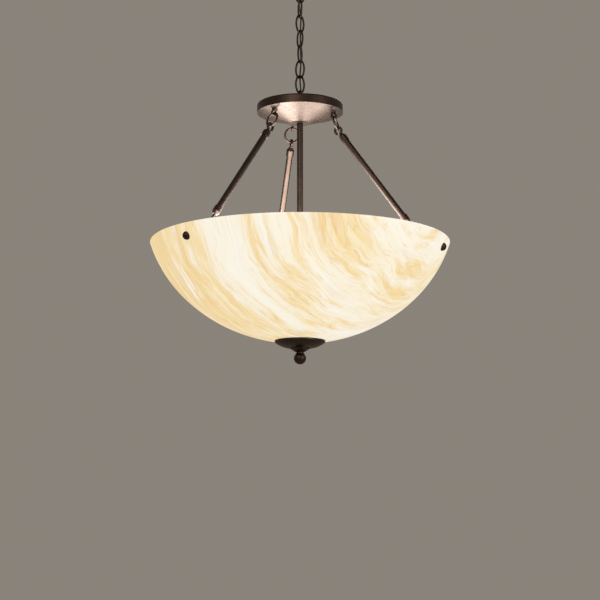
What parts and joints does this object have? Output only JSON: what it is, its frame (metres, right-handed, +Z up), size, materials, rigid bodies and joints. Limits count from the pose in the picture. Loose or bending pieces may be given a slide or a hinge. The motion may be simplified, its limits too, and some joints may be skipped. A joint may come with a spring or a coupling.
{
  "type": "inverted bowl pendant light",
  "caption": "Pendant light: a shallow streaked-glass bowl on hooked tube arms and a centre stem under a round bronze pan, hung on a chain from a ceiling canopy.",
  "frame": {"origin": "centre of the crossbar's top face, on the ceiling plane", "axes": "+Z up into the ceiling, +X to the right seen from the front, the front faces -Y"},
  "size_m": [0.612, 0.612, 0.8573],
  "materials": {
    "bronze": "satin bronze-brown",
    "zinc_steel": "zinc plated",
    "brass": "plain",
    "art_glass": "opalescent cream with amber streaks",
    "bulb_glass": "frosted",
    "socket_plastic": "matt",
    "rubber": "matt",
    "cord_jacket": "brown jacket"
  },
  "bodies": {
    "ceiling_mount": {"crossbar": "zinc_steel", "canopy_nipple": "zinc_steel", "nipple_locknut": "zinc_steel", "ceiling_loop": "bronze", "ground_screw": "brass", "cord_run_top": "cord_jacket"},
    "canopy": {"ceiling_canopy": "bronze"},
    "collar_ring": {"collar_ring": "bronze"},
    "link_1": {"chain_link_1": "bronze", "cord_run_1": "cord_jacket"},
    "link_2": {"chain_link_2": "bronze", "cord_run_2": "cord_jacket"},
    "link_3": {"chain_link_3": "bronze", "cord_run_3": "cord_jacket"},
    "link_4": {"chain_link_4": "bronze", "cord_run_4": "cord_jacket"},
    "link_5": {"chain_link_5": "bronze", "cord_run_5": "cord_jacket"},
    "link_6": {"chain_link_6": "bronze", "cord_run_6": "cord_jacket"},
    "link_7": {"chain_link_7": "bronze", "cord_run_7": "cord_jacket"},
    "pendant": {"cord_run_bottom": "cord_jacket", "pan_loop": "bronze", "pan_cover": "bronze", "pan_locknuts": "zinc_steel", "pan_underplate": "bronze", "pan_eyes": "bronze", "pan_eye_nuts": "zinc_steel", "arm_tube_1": "bronze", "arm_tube_2": "bronze", "arm_tube_3": "bronze", "arm_top_hooks": "bronze", "arm_bottom_hooks": "bronze", "glass_bowl": "art_glass", "bowl_eye_bolts": "bronze", "bowl_inner_nuts": "zinc_steel", "bowl_inner_gaskets": "rubber", "bowl_outer_gaskets": "rubber", "bowl_cap_nuts": "bronze", "stem_tube": "bronze", "centre_rod": "zinc_steel", "cluster_body": "bronze", "cluster_cap": "bronze", "socket_stems": "bronze", "lamp_sockets": "socket_plastic", "socket_contacts": "brass", "spacer_sleeve": "bronze", "bowl_seat_washer": "zinc_steel", "bowl_seat_gasket": "rubber", "bottom_gasket": "rubber", "bottom_plate": "bronze"},
    "pan_ring_1": {"pan_ring_1": "bronze"},
    "pan_ring_2": {"pan_ring_2": "bronze"},
    "pan_ring_3": {"pan_ring_3": "bronze"},
    "bulb_1": {"bulb_1": "bulb_glass"},
    "bulb_2": {"bulb_2": "bulb_glass"},
    "bulb_3": {"bulb_3": "bulb_glass"},
    "ball_finial": {"ball_finial": "bronze"}
  },
  "joints": [
    {"name": "canopy_drop", "type": "slide", "parent": "ceiling_mount", "child": "canopy", "axis": [0, 0, 1], "range_m": [-0.03, 0]},
    {"name": "collar_ring_turn", "type": "hinge", "parent": "canopy", "child": "collar_ring", "pos_m": [0, 0, -0.0318], "axis": [0, 0, 1], "continuous": true},
    {"name": "link_1_swing", "type": "hinge", "parent": "ceiling_mount", "child": "link_1", "pos_m": [0, 0, -0.061], "axis": [0.2588, -0.9659, 0], "range_deg": [-12, 12]},
    {"name": "link_2_swing", "type": "hinge", "parent": "link_1", "child": "link_2", "pos_m": [0, 0, -0.0935], "axis": [0.9659, 0.2588, 0], "range_deg": [-12, 12]},
    {"name": "link_3_swing", "type": "hinge", "parent": "link_2", "child": "link_3", "pos_m": [0, 0, -0.1262], "axis": [0.342, -0.9397, 0], "range_deg": [-12, 12]},
    {"name": "link_4_swing", "type": "hinge", "parent": "link_3", "child": "link_4", "pos_m": [0, 0, -0.1589], "axis": [0.788, 0.6157, 0], "range_deg": [-12, 12]},
    {"name": "link_5_swing", "type": "hinge", "parent": "link_4", "child": "link_5", "pos_m": [0, 0, -0.1916], "axis": [0.5592, -0.829, 0], "range_deg": [-12, 12]},
    {"name": "link_6_swing", "type": "hinge", "parent": "link_5", "child": "link_6", "pos_m": [0, 0, -0.2243], "axis": [0.3907, 0.9205, 0], "range_deg": [-12, 12]},
    {"name": "link_7_swing", "type": "hinge", "parent": "link_6", "child": "link_7", "pos_m": [0, 0, -0.257], "axis": [0.866, -0.5, 0], "range_deg": [-12, 12]},
    {"name": "pendant_swing", "type": "hinge", "parent": "link_7", "child": "pendant", "pos_m": [0, 0, -0.2897], "axis": [0.866, 0.5, 0], "range_deg": [-12, 12]},
    {"name": "pan_ring_1_turn", "type": "hinge", "parent": "pendant", "child": "pan_ring_1", "pos_m": [0.07396, -0.02304, -0.3603], "axis": [-0.913, 0.2844, -0.2924], "continuous": true},
    {"name": "pan_ring_2_turn", "type": "hinge", "parent": "pendant", "child": "pan_ring_2", "pos_m": [-0.01703, 0.07557, -0.3603], "axis": [0.2102, -0.9329, -0.2924], "continuous": true},
    {"name": "pan_ring_3_turn", "type": "hinge", "parent": "pendant", "child": "pan_ring_3", "pos_m": [-0.05693, -0.05253, -0.3603], "axis": [0.7028, 0.6485, -0.2924], "continuous": true},
    {"name": "bulb_1_turn", "type": "hinge", "parent": "pendant", "child": "bulb_1", "pos_m": [0, 0, -0.715], "axis": [0.6983, 0.6288, 0.342], "continuous": true},
    {"name": "bulb_2_turn", "type": "hinge", "parent": "pendant", "child": "bulb_2", "pos_m": [0, 0, -0.715], "axis": [-0.8937, 0.2904, 0.342], "continuous": true},
    {"name": "bulb_3_turn", "type": "hinge", "parent": "pendant", "child": "bulb_3", "pos_m": [0, 0, -0.715], "axis": [0.1954, -0.9192, 0.342], "continuous": true},
    {"name": "finial_turn", "type": "hinge", "parent": "pendant", "child": "ball_finial", "pos_m": [0, 0, -0.847], "axis": [0, 0, 1], "continuous": true}
  ]
}
